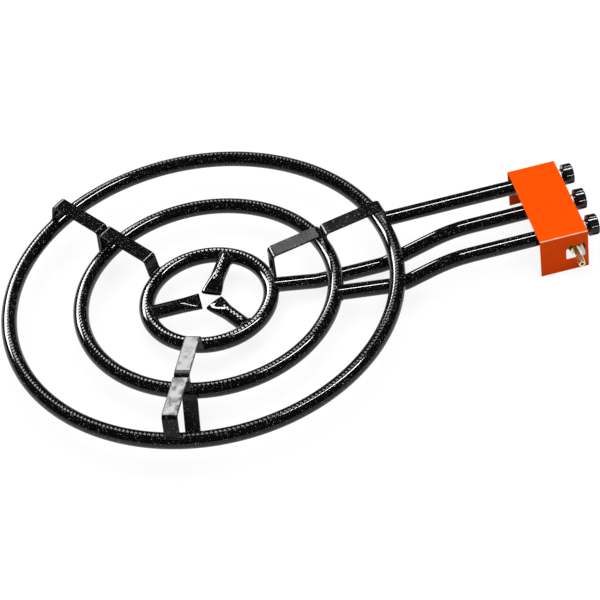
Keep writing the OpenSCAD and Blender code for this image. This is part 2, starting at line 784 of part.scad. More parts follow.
// Tap body with its inlet stub in the gas bar and a neck through the knob panel
module tap_body(i) {
  color(brass_yellow) placed() difference() {
    union() {
      on_feed(i, tap_x) cylinder(r = tap_r, h = tap_l);
      on_feed(i, tap_front_x - lap) cylinder(r = tap_neck_d / 2, h = neck_x - tap_front_x + lap);
      translate([bar_x, feed_y[i], bar_z + bar_bore_r + fit_gap])
        cylinder(r = tap_inlet_d / 2, h = bar_drop - bar_bore_r - tap_r / 2);
    }
    on_feed(i, tap_x + tap_bore_setback) cylinder(r = stem_r + run_gap, h = neck_x - tap_x);
    on_feed(i, tap_x - lap) cylinder(r = gas_bore_r, h = tap_bore_setback + 2 * lap);
    translate([bar_x, feed_y[i], bar_z]) cylinder(r = tap_inlet_bore_r, h = bar_drop - stem_r / 2);
  }
}

module tap_stem(i) {
  stem_x = tap_x + tap_bore_setback + fit_gap;
  color(zinc_grey) placed() on_feed(i, stem_x) cylinder(r = stem_r, h = grip_x + stem_grip_l - stem_x);
}

// Lobed knob with a collar behind the grip and a pointer groove on its face
module knob(i) {
  face_z = knob_collar_l + knob_l;
  socket_l = knob_collar_l + stem_grip_l + stem_end_gap;
  color(steel_black) placed() on_feed(i, knob_x) difference() {
    union() {
      cylinder(d = knob_collar_d, h = knob_collar_l + lap);
      translate([0, 0, knob_collar_l]) cylinder(d = knob_d, h = knob_l - knob_bevel);
      translate([0, 0, face_z - knob_bevel])
        cylinder(d1 = knob_d, d2 = knob_d - 2 * knob_bevel, h = knob_bevel);
    }
    for (k = [0 : knob_scallops - 1]) {
      rotate([0, 0, (k + 0.5) * 360 / knob_scallops])
        translate([knob_d / 2 + scallop_d / 2 - scallop_depth, 0, knob_collar_l + scallop_lead])
        cylinder(d = scallop_d, h = knob_l);
    }
    translate([0, 0, -lap]) cylinder(r = stem_r + run_gap, h = socket_l + lap);
    translate([-knob_d / 2, -pointer_w / 2, face_z - pointer_depth])
      cube([pointer_l, pointer_w, pointer_depth + lap]);
  }
}

module tap_nuts() {
  color(zinc_grey) placed() for (i = [0 : 2]) {
    on_feed(i, panel_x + fit_gap) difference() {
      hexagon(nut_af, nut_t);
      translate([0, 0, -lap]) cylinder(r = tap_neck_d / 2 + fit_gap, h = nut_t + 2 * lap);
    }
  }
}

// Screws through the knob panel and the bracket lip
module bracket_screws() {
  shank_l = panel_x - bracket_front_x + bracket_t + screw_nut_t + screw_tail_l;
  color(zinc_grey) placed() for (y = bracket_screw_y) {
    translate([panel_x + fit_gap, y, bracket_screw_z]) rotate([0, 90, 0]) {
      cylinder(r = screw_head_r, h = screw_head_t);
      translate([0, 0, -shank_l]) cylinder(r = screw_r, h = shank_l + lap);
    }
  }
}

module bracket_nuts() {
  color(zinc_grey) placed() for (y = bracket_screw_y) {
    translate([bracket_front_x - bracket_t - fit_gap - screw_nut_t, y, bracket_screw_z]) rotate([0, 90, 0])
      difference() {
        hexagon(screw_nut_af, screw_nut_t);
        translate([0, 0, -lap]) cylinder(r = screw_r + fit_gap, h = screw_nut_t + 2 * lap);
      }
  }
}

outer_ring();
middle_ring();
inner_ring();
outer_feed_tube();
inner_feed_tube();
middle_feed_tube();
star_tube(star_dirs[0]);  // back_star_tube
star_tube(star_dirs[1]);  // left_star_tube
star_tube(star_dirs[2]);  // front_star_tube
outer_strap(right_support);  // right_outer_strap
inner_strap(right_support);  // right_inner_strap
outer_strap(back_support);  // back_outer_strap
inner_strap(back_support);  // back_inner_strap
outer_strap(front_support);  // front_outer_strap
inner_strap(front_support);  // front_inner_strap
foot(back_support);  // back_foot
foot(front_support);  // front_foot
control_cover();
mixer_bracket();
gas_bar();
bar_plug();
hose_nozzle();
bar_clips();
mixer(0);  // outer_mixer
mixer(1);  // inner_mixer
mixer(2);  // middle_mixer
injector(0);  // outer_injector
injector(1);  // inner_injector
injector(2);  // middle_injector
tap_body(0);  // outer_tap_body
tap_body(1);  // inner_tap_body
tap_body(2);  // middle_tap_body
tap_stem(0);  // outer_tap_stem
tap_stem(1);  // inner_tap_stem
tap_stem(2);  // middle_tap_stem
knob(0);  // outer_knob
knob(1);  // inner_knob
knob(2);  // middle_knob
tap_nuts();
bracket_screws();
bracket_nuts();
clip_screws();
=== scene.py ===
import json
import math

import bmesh
import bpy
from mathutils import Matrix, Vector

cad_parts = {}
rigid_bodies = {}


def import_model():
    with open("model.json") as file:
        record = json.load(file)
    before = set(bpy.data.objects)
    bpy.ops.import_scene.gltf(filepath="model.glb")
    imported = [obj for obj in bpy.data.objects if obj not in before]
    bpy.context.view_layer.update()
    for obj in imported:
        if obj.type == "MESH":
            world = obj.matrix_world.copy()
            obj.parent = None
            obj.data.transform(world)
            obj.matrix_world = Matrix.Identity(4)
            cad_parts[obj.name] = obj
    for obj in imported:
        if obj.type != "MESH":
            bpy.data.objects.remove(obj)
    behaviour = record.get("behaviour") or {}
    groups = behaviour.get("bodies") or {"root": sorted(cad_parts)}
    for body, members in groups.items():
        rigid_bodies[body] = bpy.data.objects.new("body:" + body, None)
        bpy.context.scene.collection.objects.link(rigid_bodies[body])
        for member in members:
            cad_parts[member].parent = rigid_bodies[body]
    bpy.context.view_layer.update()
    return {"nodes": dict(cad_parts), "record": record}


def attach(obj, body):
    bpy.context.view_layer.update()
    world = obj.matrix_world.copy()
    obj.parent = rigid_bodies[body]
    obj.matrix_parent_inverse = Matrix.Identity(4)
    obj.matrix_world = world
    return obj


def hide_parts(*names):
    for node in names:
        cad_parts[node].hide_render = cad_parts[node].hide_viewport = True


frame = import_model()
print("frame loaded with", len(frame["nodes"]), "nodes")

# the photo's lens and standpoint
view = {
    "lens": 120.74,
    "eye": (-0.2385, -2.4731, 2.4783),
    "right": (0.9680, -0.2179, -0.1248),
    "up": (0.2420, 0.6772, 0.6949),
}

bpy.ops.object.camera_add(location=view["eye"])
camera = bpy.context.object
camera.name = "photoCamera"
right = Vector(view["right"]).normalized()
up = Vector(view["up"])
up = (up - up.project(right)).normalized()
turned = Matrix((right, up, right.cross(up))).transposed()
camera.matrix_world = Matrix.Translation(view["eye"]) @ turned.to_4x4()
camera.data.sensor_width = 36
camera.data.lens = view["lens"]
camera.data.clip_end = 200
bpy.context.scene.camera = camera
bpy.context.scene.view_settings.view_transform = "Standard"


# small helpers for modelling
def nothingSelected():
    if bpy.context.object and bpy.context.object.mode != "OBJECT":
        bpy.ops.object.mode_set(mode="OBJECT")
    bpy.ops.object.select_all(action="DESELECT")


def workOn(piece):
    nothingSelected()
    piece.select_set(True)
    bpy.context.view_layer.objects.active = piece


def pick(piece, kind, test):
    # in edit mode: selects the verts, edges or faces that pass the test
    bpy.ops.mesh.select_mode(type=kind)
    bpy.ops.mesh.select_all(action="DESELECT")
    mesh = bmesh.from_edit_mesh(piece.data)
    mesh.normal_update()
    found = 0
    for item in {"VERT": mesh.verts, "EDGE": mesh.edges, "FACE": mesh.faces}[kind]:
        if test(item):
            item.select_set(True)
            found += 1
    mesh.select_flush_mode()
    bmesh.update_edit_mesh(piece.data)
    return found


def smoothed(piece, angle=32, flats=False):
    workOn(piece)
    bpy.ops.object.shade_smooth_by_angle(angle=math.radians(angle))
    if flats:
        # broad faces stay flat beside their rounded edges
        weighted = piece.modifiers.new("flats", "WEIGHTED_NORMAL")
        weighted.keep_sharp = True
        bpy.ops.object.modifier_apply(modifier="flats")


def nodeCopy(node, name):
    # a merged copy of a solid, free to be worked on
    nothingSelected()
    source = frame["nodes"][node]
    source.select_set(True)
    bpy.context.view_layer.objects.active = source
    bpy.ops.object.duplicate()
    piece = bpy.context.object
    bpy.ops.object.parent_clear(type="CLEAR_KEEP_TRANSFORM")
    for key in list(piece.keys()):
        del piece[key]
    piece.name = name
    bpy.ops.mesh.customdata_custom_splitnormals_clear()
    bpy.ops.object.mode_set(mode="EDIT")
    bpy.ops.mesh.select_all(action="SELECT")
    bpy.ops.mesh.remove_doubles(threshold=2e-6)
    bpy.ops.object.mode_set(mode="OBJECT")
    return piece


def easedEdges(piece, width, steps=2, sharper=35, keep=None):
    # rounds the sharp edges, apart from those that keep() names
    workOn(piece)
    bpy.ops.object.mode_set(mode="EDIT")
    bpy.ops.mesh.select_all(action="SELECT")
    bpy.ops.mesh.dissolve_limited(angle_limit=math.radians(0.4))

    def sharp(edge):
        if len(edge.link_faces) != 2 or edge.calc_face_angle() < math.radians(sharper):
            return False
        return not (keep and keep(edge))

    if pick(piece, "EDGE", sharp):
        bpy.ops.mesh.bevel(offset=width, segments=steps, affect="EDGES", clamp_overlap=True)
    bpy.ops.object.mode_set(mode="OBJECT")


def coated(piece, *materials):
    piece.data.materials.clear()
    for material in materials:
        piece.data.materials.append(material)


def coatPicked(piece, index):
    # in edit mode: gives the selected faces one of the piece's coats
    piece.active_material_index = index
    bpy.ops.object.material_slot_assign()


def finished(piece, body, slot, *nodes):
    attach(piece, body)
    if nodes:
        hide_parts(*nodes)


# small helpers for materials
def addNode(tree, kind, place=(0, 0), **values):
    node = tree.nodes.new(kind)
    node.location = place
    for key, value in values.items():
        if key in node.inputs:
            node.inputs[key].default_value = value
        else:
            setattr(node, key, value)
    return node


def newGroup(name, inputs, outputs):
    group = bpy.data.node_groups.new(name, "ShaderNodeTree")
    for title, value in inputs.items():
        kind = "NodeSocketVector" if value is None else "NodeSocketFloat"
        socket = group.interface.new_socket(title, in_out="INPUT", socket_type=kind)
        if value is not None:
            socket.default_value = value
    for title in outputs:
        group.interface.new_socket(title, in_out="OUTPUT", socket_type="NodeSocketFloat")
    return group, group.nodes.new("NodeGroupInput"), group.nodes.new("NodeGroupOutput")


def placed(tree, group, place, **values):
    node = tree.nodes.new("ShaderNodeGroup")
    node.node_tree = group
    node.location = place
    for key, value in values.items():
        node.inputs[key].default_value = value
    return node


def speckGroup():
    # pale fired-in specks: one dot in some of the cells of a Voronoi pattern
    group, given, result = newGroup(
        "firedSpecks", {"Place": None, "Per Metre": 300.0, "Size": 0.2, "Share": 0.5}, ["Mask"])
    cells = addNode(group, "ShaderNodeTexVoronoi", feature="F1")
    split = addNode(group, "ShaderNodeSeparateColor")
    grown = addNode(group, "ShaderNodeMath", operation="MULTIPLY_ADD")
    grown.inputs[1].default_value = 0.7
    grown.inputs[2].default_value = 0.45
    reach = addNode(group, "ShaderNodeMath", operation="MULTIPLY")
    dot = addNode(group, "ShaderNodeMath", operation="LESS_THAN")
    chosen = addNode(group, "ShaderNodeMath", operation="LESS_THAN")
    both = addNode(group, "ShaderNodeMath", operation="MULTIPLY")
    link = group.links.new
    link(given.outputs["Place"], cells.inputs["Vector"])
    link(given.outputs["Per Metre"], cells.inputs["Scale"])
    link(cells.outputs["Color"], split.inputs["Color"])
    link(split.outputs["Green"], grown.inputs[0])
    link(grown.outputs[0], reach.inputs[0])
    link(given.outputs["Size"], reach.inputs[1])
    link(cells.outputs["Distance"], dot.inputs[0])
    link(reach.outputs[0], dot.inputs[1])
    link(split.outputs["Red"], chosen.inputs[0])
    link(given.outputs["Share"], chosen.inputs[1])
    link(dot.outputs[0], both.inputs[0])
    link(chosen.outputs[0], both.inputs[1])
    link(both.outputs[0], result.inputs["Mask"])
    return group


def flowGroup():
    # soft unevenness of a fired or sprayed coat, as a height and as a blotch value
    group, given, result = newGroup(
        "coatFlow", {"Place": None, "Per Metre": 200.0, "Blotch Per Metre": 25.0}, ["Height", "Blotch"])
    fine = addNode(group, "ShaderNodeTexNoise", Detail=2.0, Roughness=0.5)
    wide = addNode(group, "ShaderNodeTexNoise", Detail=3.0, Roughness=0.55)
    link = group.links.new
    link(given.outputs["Place"], fine.inputs["Vector"])
    link(given.outputs["Per Metre"], fine.inputs["Scale"])
    link(given.outputs["Place"], wide.inputs["Vector"])
    link(given.outputs["Blotch Per Metre"], wide.inputs["Scale"])
    link(fine.outputs["Fac"], result.inputs["Height"])
    link(wide.outputs["Fac"], result.inputs["Blotch"])
    return group


specks = speckGroup()
flow = flowGroup()


def flowed(tree, place, where, coat):
    node = placed(tree, flow, where, **{"Per Metre": coat["fine"], "Blotch Per Metre": coat["blotch"]})
    tree.links.new(place, node.inputs["Place"])
    return node


def startMaterial(name, **constants):
    material = bpy.data.materials.new(name)
    material.use_nodes = True
    tree = material.node_tree
    shader = tree.nodes["Principled BSDF"]
    for key, value in constants.items():
        shader.inputs[key].default_value = value
    where = addNode(tree, "ShaderNodeTexCoord", (-1400, 0))
    return material, tree, shader, where.outputs["Object"]


def ranged(tree, source, low, high, place):
    # maps a 0..1 pattern to a range of values
    node = addNode(tree, "ShaderNodeMapRange", place)
    node.inputs["To Min"].default_value = low
    node.inputs["To Max"].default_value = high
    tree.links.new(source, node.inputs["Value"])
    return node.outputs["Result"]


def mixed(tree, mask, first, second, place):
    node = addNode(tree, "ShaderNodeMix", place, data_type="RGBA")
    for socket, value in ((node.inputs[6], first), (node.inputs[7], second)):
        if isinstance(value, tuple):
            socket.default_value = (*value, 1)
        else:
            tree.links.new(value, socket)
    tree.links.new(mask, node.inputs[0])
    return node.outputs[2]


def bumped(tree, shader, height, strength, distance, place=(-250, -500)):
    bump = addNode(tree, "ShaderNodeBump", place, Strength=strength, Distance=distance)
    tree.links.new(height, bump.inputs["Height"])
    tree.links.new(bump.outputs["Normal"], shader.inputs["Normal"])
    return bump


enamelLook = {
    "black": (0.0012, 0.0012, 0.0014), "soot": (0.004, 0.004, 0.004), "speck": (0.42, 0.42, 0.40),
    "bigSpecks": (250.0, 0.16, 0.75), "fineSpecks": (420.0, 0.18, 0.75), "gloss": (0.04, 0.08), "sheen": 0.3,
    "ripple": 0.02, "wave": 0.0,
}
enamelCoat = {"fine": 160.0, "blotch": 40.0, "fineSpeck": 0.5, "speckLump": 0.5, "lump": 0.0006, "slow": 4.0}


def enamel(name, look):
    material, tree, shader, place = startMaterial(name, **{"IOR": 1.5, "Specular IOR Level": look["sheen"]})
    link = tree.links.new
    masks = []
    for row, key in enumerate(("bigSpecks", "fineSpecks")):
        perMetre, size, share = look[key]
        dots = placed(tree, specks, (-1100, 200 - 250 * row),
                      **{"Per Metre": perMetre, "Size": size, "Share": share})
        link(place, dots.inputs["Place"])
        masks.append(dots.outputs["Mask"])
    coat = flowed(tree, place, (-1100, -350), enamelCoat)
    ground = mixed(tree, coat.outputs["Blotch"], look["black"], look["soot"], (-800, 200))
    faint = tuple(enamelCoat["fineSpeck"] * tone for tone in look["speck"])
    dusted = mixed(tree, masks[1], ground, faint, (-550, 150))
    dotted = mixed(tree, masks[0], dusted, look["speck"], (-300, 100))
    link(dotted, shader.inputs["Base Color"])
    link(ranged(tree, coat.outputs["Blotch"], *look["gloss"], (-550, -200)), shader.inputs["Roughness"])
    lumps = addNode(tree, "ShaderNodeMath", (-550, -450), operation="MULTIPLY_ADD")
    lumps.inputs[1].default_value = enamelCoat["speckLump"]
    link(masks[0], lumps.inputs[0])
    link(coat.outputs["Height"], lumps.inputs[2])
    bump = bumped(tree, shader, lumps.outputs[0], look["ripple"], enamelCoat["lump"])
    if look["wave"]:
        # slow unevenness of a strap that was bent by hand
        bend = placed(tree, flow, (-800, -700), **{"Per Metre": enamelCoat["slow"]})
        slow = addNode(tree, "ShaderNodeBump", (-500, -700), Distance=look["wave"])
        link(place, bend.inputs["Place"])
        link(bend.outputs["Height"], slow.inputs["Height"])
        link(slow.outputs["Normal"], bump.inputs["Normal"])
    return material


strapLook = {
    "black": (0.002, 0.002, 0.0022), "soot": (0.006, 0.006, 0.006), "speck": (0.46, 0.46, 0.44),
    "bigSpecks": (260.0, 0.15, 0.7), "fineSpecks": (430.0, 0.19, 0.7), "gloss": (0.09, 0.16), "sheen": 0.18,
    "ripple": 0.08, "wave": 0.010,
}
weldLook = {
    "black": (0.002, 0.002, 0.002), "soot": (0.006, 0.006, 0.006), "speck": (0.45, 0.45, 0.43),
    "bigSpecks": (300.0, 0.22, 0.6), "fineSpecks": (600.0, 0.25, 0.5), "gloss": (0.18, 0.35), "sheen": 0.25,
    "ripple": 0.3, "wave": 0.0,
}
ringEnamel = enamel("ringEnamel", enamelLook)
strapEnamel = enamel("strapEnamel", strapLook)
weldEnamel = enamel("weldEnamel", weldLook)

paintLook = {
    "bright": (0.96, 0.082, 0.0), "dull": (0.90, 0.072, 0.0), "gloss": (0.20, 0.30),
    "fine": 700.0, "blotch": 18.0, "ripple": 0.12, "height": 0.0003,
}
paintSheen = {"IOR": 1.5, "Specular IOR Level": 0.03}


def plainCoat(name, look, constants):
    # two tones of one finish that flow into each other, with a fine bump
    material, tree, shader, place = startMaterial(name, **constants)
    coat = flowed(tree, place, (-900, 0), look)
    blotch = coat.outputs["Blotch"]
    colour = mixed(tree, blotch, look["bright"], look["dull"], (-500, 100))
    tree.links.new(colour, shader.inputs["Base Color"])
    tree.links.new(ranged(tree, blotch, *look["gloss"], (-500, -150)), shader.inputs["Roughness"])
    bumped(tree, shader, coat.outputs["Height"], look["ripple"], look["height"])
    return material


foldHighlightLook = {**paintLook, "bright": (0.95, 0.62, 0.46), "dull": (0.95, 0.48, 0.30)}
coverPaint = plainCoat("coverPaint", paintLook, paintSheen)
foldHighlightPaint = plainCoat("foldHighlightPaint", foldHighlightLook, paintSheen)  # painted highlight: a pale line along the fold that stands in for light catching it

brassLook = {
    "bright": (0.92, 0.80, 0.50), "dull": (0.66, 0.50, 0.22), "gloss": (0.12, 0.24),
    "fine": 900.0, "blotch": 120.0, "ripple": 0.08, "height": 0.0003,
}
zincLook = {
    "bright": (0.66, 0.67, 0.68), "dull": (0.45, 0.46, 0.46), "gloss": (0.28, 0.45),
    "fine": 700.0, "blotch": 60.0, "ripple": 0.08, "height": 0.0003,
}
castingLook = {
    "bright": (0.58, 0.58, 0.57), "dull": (0.40, 0.40, 0.39), "gloss": (0.45, 0.62),
    "fine": 1100.0, "blotch": 90.0, "ripple": 0.35, "height": 0.0003,
}
turnedBrass = plainCoat("turnedBrass", brassLook, {"Metallic": 0.88})
zincPlate = plainCoat("zincPlate", zincLook, {"Metallic": 1.0})
mixerCasting = plainCoat("mixerCasting", castingLook, {"Metallic": 0.9})

wearAndHighlightLook = {
    "fleck": (0.02, 0.02, 0.02), "fine": 420.0, "blotch": 150.0, "gloss": (0.30, 0.5),
    "ripple": 0.15, "height": 0.0004,
}


def rubbedBand(tree, place, look, uneven):
    # where pans rub: a stretch of the support, measured from its foot along and from its middle line
    turn = math.radians(look["turn"])
    marks = []
    for row, (axis, low, high) in enumerate((((math.cos(turn), math.sin(turn), 0), *look["along"]),
                                             ((-math.sin(turn), math.cos(turn), 0), *look["across"]))):
        away = addNode(tree, "ShaderNodeVectorMath", (-1300, 500 - 300 * row), operation="SUBTRACT")
        away.inputs[1].default_value = look["centre"]
        along = addNode(tree, "ShaderNodeVectorMath", (-1100, 500 - 300 * row), operation="DOT_PRODUCT")
        along.inputs[1].default_value = axis
        ragged = addNode(tree, "ShaderNodeMath", (-900, 500 - 300 * row), operation="MULTIPLY_ADD")
        ragged.inputs[1].default_value = look["ragged"]
        off = addNode(tree, "ShaderNodeMath", (-700, 500 - 300 * row), operation="COMPARE")
        off.inputs[1].default_value = (low + high) / 2 + look["ragged"] / 2
        off.inputs[2].default_value = (high - low) / 2
        tree.links.new(place, away.inputs[0])
        tree.links.new(away.outputs["Vector"], along.inputs[0])
        tree.links.new(uneven, ragged.inputs[0])
        tree.links.new(along.outputs["Value"], ragged.inputs[2])
        tree.links.new(ragged.outputs[0], off.inputs[0])
        marks.append(off.outputs[0])
    both = addNode(tree, "ShaderNodeMath", (-500, 400), operation="MULTIPLY")
    tree.links.new(marks[0], both.inputs[0])
    tree.links.new(marks[1], both.inputs[1])
    return both.outputs[0]


def wearAndHighlightSteel(name, look):
    # enamel rubbed down to pale steel, with dark remains of the coat; the same pale coat also makes the
    # painted highlight on the port lands
    material, tree, shader, place = startMaterial(name, **{"IOR": 1.5, "Specular IOR Level": 0.4})
    link = tree.links.new
    rub = flowed(tree, place, (-1100, 0), look)
    patches = addNode(tree, "ShaderNodeMapRange", (-800, -200), interpolation_type="SMOOTHSTEP")
    patches.inputs["From Min"].default_value = 1 - look["flecks"]
    patches.inputs["From Max"].default_value = 1 - look["flecks"] + look["fleckEdge"]
    link(rub.outputs["Blotch"], patches.inputs["Value"])
    bare = mixed(tree, rub.outputs["Height"], look["steel"], look["dull"], (-550, 200))
    coat = mixed(tree, patches.outputs["Result"], bare, look["fleck"], (-300, 100))
    if "along" in look:
        band = rubbedBand(tree, place, look, rub.outputs["Blotch"])
        coat = mixed(tree, band, look["edge"], coat, (-150, 250))
    link(coat, shader.inputs["Base Color"])
    link(ranged(tree, rub.outputs["Height"], *look["gloss"], (-550, -350)), shader.inputs["Roughness"])
    bumped(tree, shader, rub.outputs["Blotch"], look["ripple"], look["height"])
    return material


restLook = {
    **wearAndHighlightLook, "steel": (0.62, 0.62, 0.63), "dull": (0.40, 0.40, 0.41), "edge": (0.01, 0.01, 0.01),
    "blotch": 75.0, "turn": -109.4, "centre": (-0.1604, 0.0, 0.0), "across": (-0.0114, 0.0114),
    "ragged": 0.007,
}
restSteel = wearAndHighlightSteel("restSteel", {
    **restLook, "along": (0.0, 0.215), "flecks": 0.56, "fleckEdge": 0.26, "fleck": (0.24, 0.24, 0.24)})
scuffedSteel = wearAndHighlightSteel("scuffedSteel", {
    **restLook, "along": (0.0, 0.6), "flecks": 0.62, "fleckEdge": 0.26, "fleck": (0.12, 0.12, 0.12)})
# painted highlight on the port lands: pale coats, brightest on the inner ring and dimmest on the outer, that
# stand in for light catching the lands
landHighlightLook = {**wearAndHighlightLook, "flecks": 0.40, "fleckEdge": 0.10}
landHighlightTones = {"outerLandHighlight": ((0.20, 0.20, 0.19), (0.10, 0.10, 0.10)),
               "middleLandHighlight": ((0.32, 0.32, 0.31), (0.17, 0.17, 0.17)),
               "innerLandHighlight": ((0.80, 0.80, 0.78), (0.50, 0.50, 0.49))}
outerLandHighlight, middleLandHighlight, innerLandHighlight = (
    wearAndHighlightSteel(name, {**landHighlightLook, "steel": pale, "dull": grey})
    for name, (pale, grey) in landHighlightTones.items())

knobLook = {
    "bright": (0.004, 0.004, 0.004), "dull": (0.010, 0.010, 0.010), "gloss": (0.08, 0.16),
    "fine": 1400.0, "blotch": 70.0, "ripple": 0.08, "height": 0.0002,
}
knobPlastic = plainCoat("knobPlastic", knobLook, {"IOR": 1.5, "Specular IOR Level": 0.3})
finishes = {
    "ring_enamel": ringEnamel, "strap_enamel": strapEnamel, "cover_paint": coverPaint,
    "turned_brass": turnedBrass, "zinc_plate": zincPlate, "mixer_casting": mixerCasting,
    "knob_plastic": knobPlastic,
}
print("finishes ready:", ", ".join(finishes))

# solids that stay as they are take the new finish of their slot
for entry in frame["record"]["subparts"]:
    for holder in frame["nodes"][entry["node"]].material_slots:
        holder.material = finishes[entry["material_slot"]]

# rings, with two staggered rows of ports along the crown
rings = {
    "outer_ring": {"centre": (-0.166, 0.0, 0.0665), "radius": 0.3363, "ports": 290, "landHighlight": outerLandHighlight},
    "middle_ring": {"centre": (-0.158, 0.0, 0.0545), "radius": 0.22129, "ports": 193,
                    "landHighlight": middleLandHighlight},
    "inner_ring": {"centre": (-0.158, 0.0, 0.0425), "radius": 0.10831, "ports": 95, "landHighlight": innerLandHighlight},
}
ringTube = 0.0137
port = {"radius": 0.0019, "lip": 0.0003, "rise": 0.0002, "depth": 0.0026, "around": 40, "land": 0.8,
        "octagon": 0.086, "floor": 0.6}


def ringPlace(ring, point):
    # angle round the ring, angle round its tube and distance from the tube's skin
    east = point.x - ring["centre"][0]
    north = point.y - ring["centre"][1]
    out = math.hypot(east, north) - ring["radius"]
    rise = point.z - ring["centre"][2]
    return math.atan2(north, east), math.atan2(rise, out), math.hypot(out, rise) - ringTube


def portedRing(name):
    ring = rings[name]
    steps = 2 * ring["ports"]
    row = 2 * math.pi / port["around"]
    nothingSelected()
    start = Vector(ring["centre"]) + Vector((ring["radius"], 0, 0))
    bpy.ops.mesh.primitive_circle_add(vertices=port["around"], radius=ringTube, location=start,
                                      rotation=(math.pi / 2, 0, 0))
    piece = bpy.context.object
    piece.name = name + "_ported"
    bpy.ops.object.transform_apply(location=True, rotation=True, scale=True)
    coated(piece, ringEnamel, ring["landHighlight"])
    bpy.ops.object.mode_set(mode="EDIT")
    bpy.ops.mesh.select_all(action="SELECT")
    bpy.ops.mesh.spin(steps=steps, angle=2 * math.pi, center=ring["centre"], axis=(0, 0, 1))
    bpy.ops.mesh.select_all(action="SELECT")
    bpy.ops.mesh.remove_doubles(threshold=1e-5)
    bpy.ops.mesh.normals_make_consistent(inside=False)

    def nearest(point):
        # the nearest place for a port: even steps in the outer row, odd ones in the inner row
        turn, tilt, skin = ringPlace(ring, point)
        step = round(turn / (2 * math.pi) * steps)
        angle = step * 2 * math.pi / steps
        lean = math.pi / 2 + (row if step % 2 else -row)
        flat = ring["radius"] + ringTube * math.cos(lean)
        return Vector((
            ring["centre"][0] + flat * math.cos(angle), ring["centre"][1] + flat * math.sin(angle),
            ring["centre"][2] + ringTube * math.sin(lean)))

    found = pick(piece, "VERT", lambda v: (v.co - nearest(v.co)).length < 1e-5)
    bpy.ops.mesh.bevel(offset=port["radius"], segments=2, profile=port["octagon"], affect="VERTICES")

    def land(face):
        turn, tilt, skin = ringPlace(ring, face.calc_center_median())
        step = math.floor(turn / (2 * math.pi) * steps)
        return step % 2 == 0 and abs(tilt - math.pi / 2) < port["land"] * row

    pick(piece, "FACE", land)
    coatPicked(piece, 1)  # painted highlight: the lands that slant one way between the rows get a pale coat that stands in for light catching them
    # quads to sink: the share is too tight, so the outer ring's ports and many other quads stay flush
    pick(piece, "FACE", lambda f: (f.calc_center_median() - nearest(f.calc_center_median())).length
         < port["floor"] * port["radius"])
    coatPicked(piece, 0)
    bpy.ops.mesh.inset(thickness=port["lip"], depth=port["rise"])
    bpy.ops.mesh.extrude_region_shrink_fatten(TRANSFORM_OT_shrink_fatten={"value": -port["depth"]})
    bpy.ops.object.mode_set(mode="OBJECT")
    smoothed(piece, 45)
    finished(piece, "burner", "ring_enamel", name)
    print(name, "has", found, "port places and", len(piece.data.polygons), "faces")


for ringName in rings:
    portedRing(ringName)

# tubes, straps and the weld beads that hold them to the rings
weld = {"radius": 0.0022, "reach": 0.0006, "grain": 0.0009, "lump": 0.0016, "lumpSize": 0.005}
weldTexture = bpy.data.textures.new("weldLumps", "CLOUDS")
weldTexture.noise_scale = weld["lumpSize"]
weldWires = {name: [] for name in rings}


def weldLine(piece, ringName):
    # copies the outline of a piece's cut end on a ring, as a wire for the bead
    ring = rings[ringName]

    def onRing(vert):
        return abs(ringPlace(ring, vert.co)[2]) < weld["reach"]

    def cut(face):
        return all(onRing(vert) for vert in face.verts)

    workOn(piece)
    bpy.ops.object.mode_set(mode="EDIT")
    mesh = bmesh.from_edit_mesh(piece.data)
    ends = [face.calc_center_median() for face in mesh.faces if cut(face)]
    if not ends:
        bpy.ops.object.mode_set(mode="OBJECT")
        return
    middle = sum(ends, Vector()) / len(ends)

    def outline(edge):
        sides = [face for face in edge.link_faces if not cut(face)]
        if len(edge.link_faces) != 2 or len(sides) != 1:
            return False
        centre = (edge.verts[0].co + edge.verts[1].co) / 2
        return sides[0].normal.dot(centre - middle) > 0

    if pick(piece, "EDGE", outline):
        bpy.ops.mesh.duplicate()
        bpy.ops.mesh.separate(type="SELECTED")
    bpy.ops.object.mode_set(mode="OBJECT")
    for other in bpy.context.selected_objects:
        if other != piece:
            weldWires[ringName].append(other)


def weldBeads(ringName):
    wires = weldWires[ringName]
    nothingSelected()
    for wire in wires:
        wire.select_set(True)
    bpy.context.view_layer.objects.active = wires[0]
    if len(wires) > 1:
        bpy.ops.object.join()
    bpy.ops.object.convert(target="CURVE")
    beads = bpy.context.object
    beads.name = ringName + "_welds"
    beads.data.bevel_depth = weld["radius"]
    beads.data.bevel_resolution = 2
    bpy.ops.object.convert(target="MESH")
    remesh = beads.modifiers.new("grain", "REMESH")
    remesh.mode = "VOXEL"
    remesh.voxel_size = weld["grain"]
    bpy.ops.object.modifier_apply(modifier="grain")
    lumps = beads.modifiers.new("lumps", "DISPLACE")
    lumps.texture = weldTexture
    lumps.strength = weld["lump"]
    bpy.ops.object.modifier_apply(modifier="lumps")
    smoothed(beads, 60)
    coated(beads, weldEnamel)
    finished(beads, "burner", "ring_enamel")
    print(beads.name, "has", len(beads.data.polygons), "faces")


tubes = {
    "outer_feed_tube": "outer_ring", "inner_feed_tube": "inner_ring", "middle_feed_tube": "middle_ring",
    "back_star_tube": "inner_ring", "left_star_tube": "inner_ring", "front_star_tube": "inner_ring",
}
starPort = {"turns": {"back_star_tube": 62, "front_star_tube": -60}, "from": 0.040, "pitch": 0.0042,
            "count": 12, "reach": 0.0028, "crown": 0.7, "rim": 0.0004, "depth": 0.0010}


